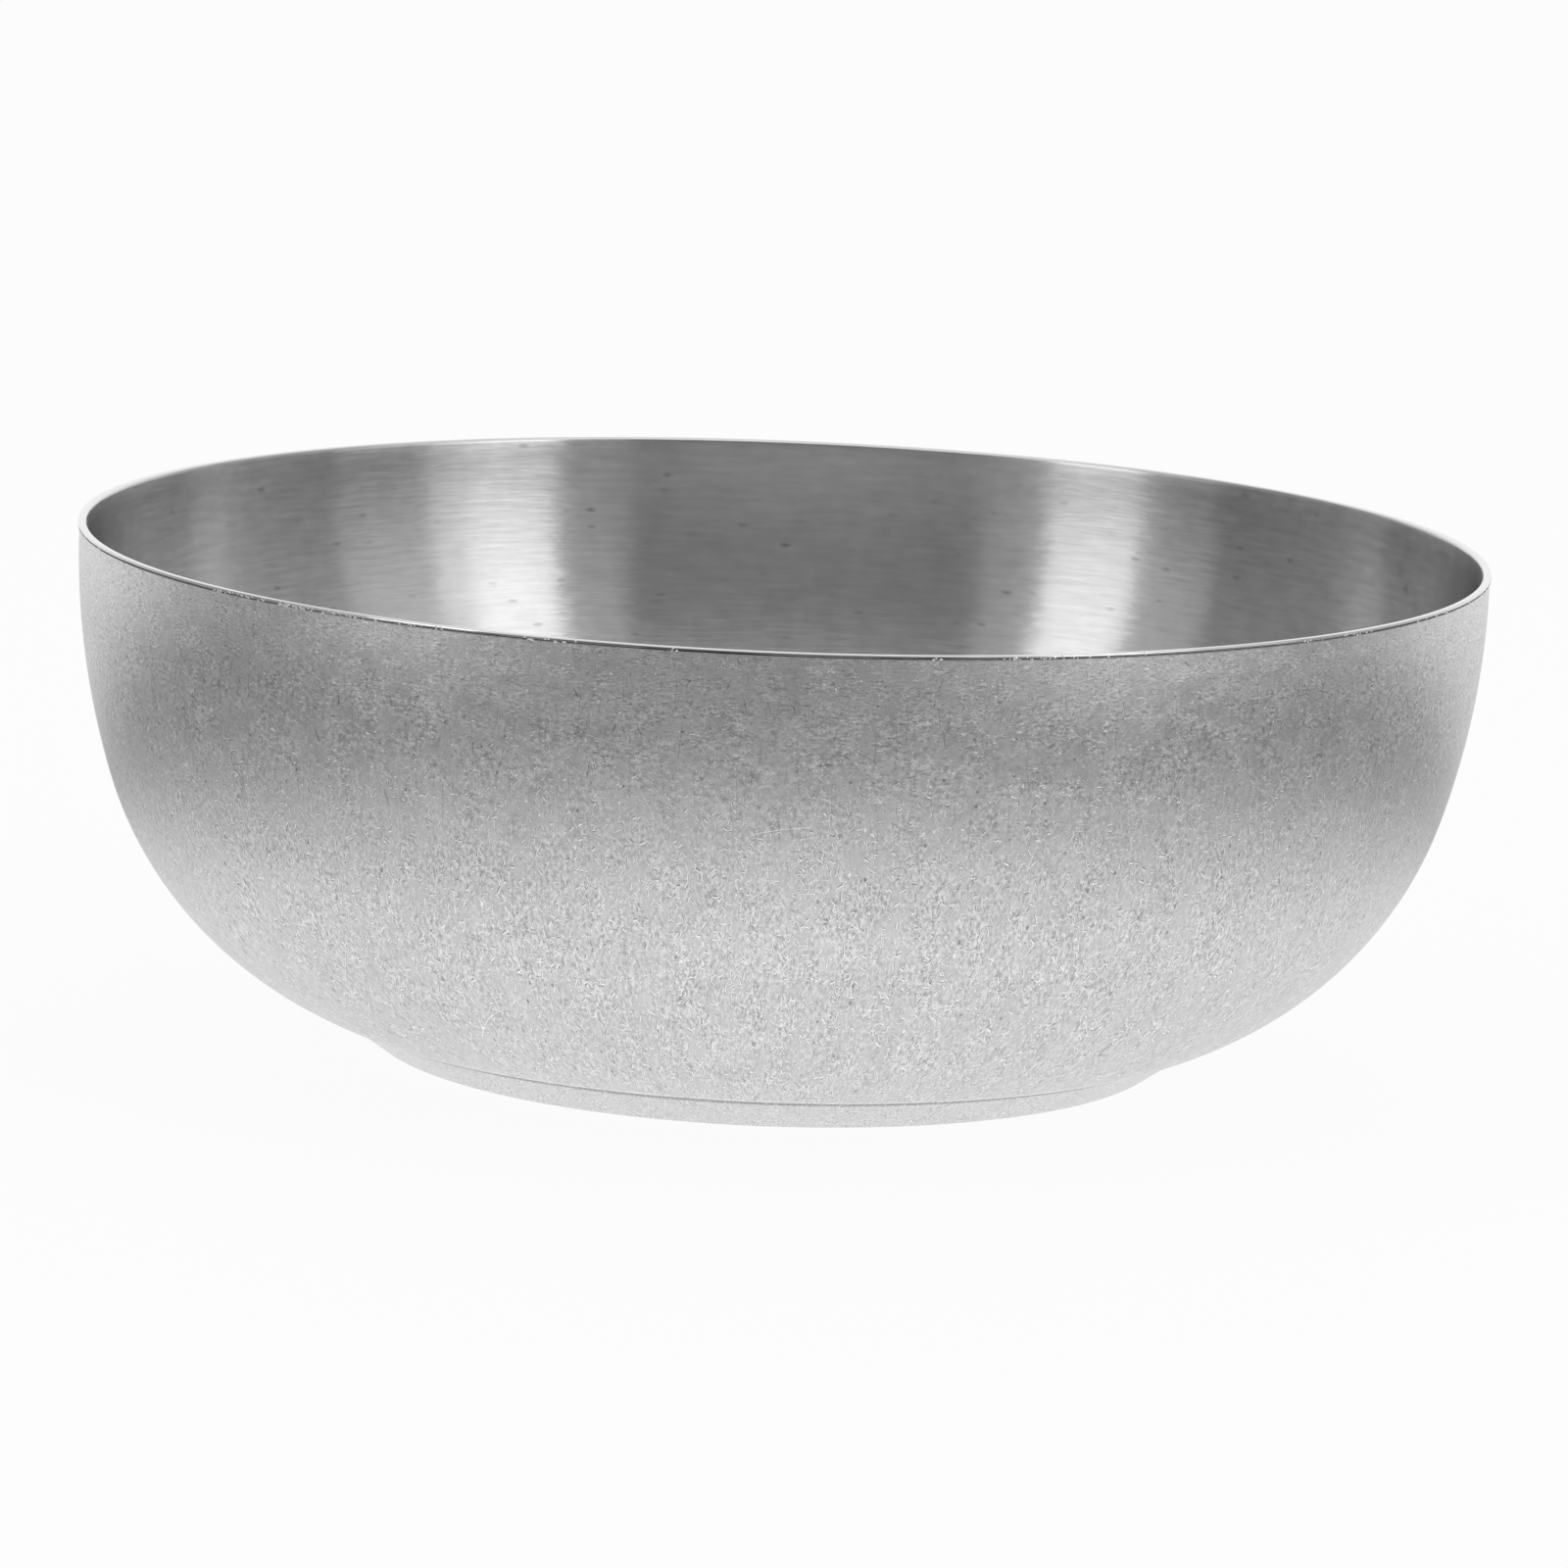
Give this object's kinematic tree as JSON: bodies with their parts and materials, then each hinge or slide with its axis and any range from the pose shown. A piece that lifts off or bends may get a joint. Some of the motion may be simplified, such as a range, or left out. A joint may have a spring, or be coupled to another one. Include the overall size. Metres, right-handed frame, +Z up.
{
  "type": "stainless steel bowl",
  "caption": "Round double-wall stainless steel serving bowl with a thin turned-out lip, tumbled outer shell, brushed inner bowl and a base cap set into the shell.",
  "frame": {"origin": "centre of the standing plane under the bowl", "axes": "+Z up through the mouth of the bowl, along its axis of symmetry; X and Y lie in the standing plane"},
  "size_m": [0.16, 0.16, 0.0585],
  "materials": {
    "brushed_inner_steel": "brushed around the bowl, polished lip",
    "tumbled_outer_steel": "satin, tumbled, fine scratches in all directions",
    "tumbled_base_steel": "satin, tumbled, fine scratches in all directions",
    "weld_steel": "dull weld bead"
  },
  "bodies": {
    "root": {"inner_bowl": "brushed_inner_steel", "outer_shell": "tumbled_outer_steel", "base_cap": "tumbled_base_steel", "rim_weld": "weld_steel", "base_weld": "weld_steel"}
  },
  "joints": []
}
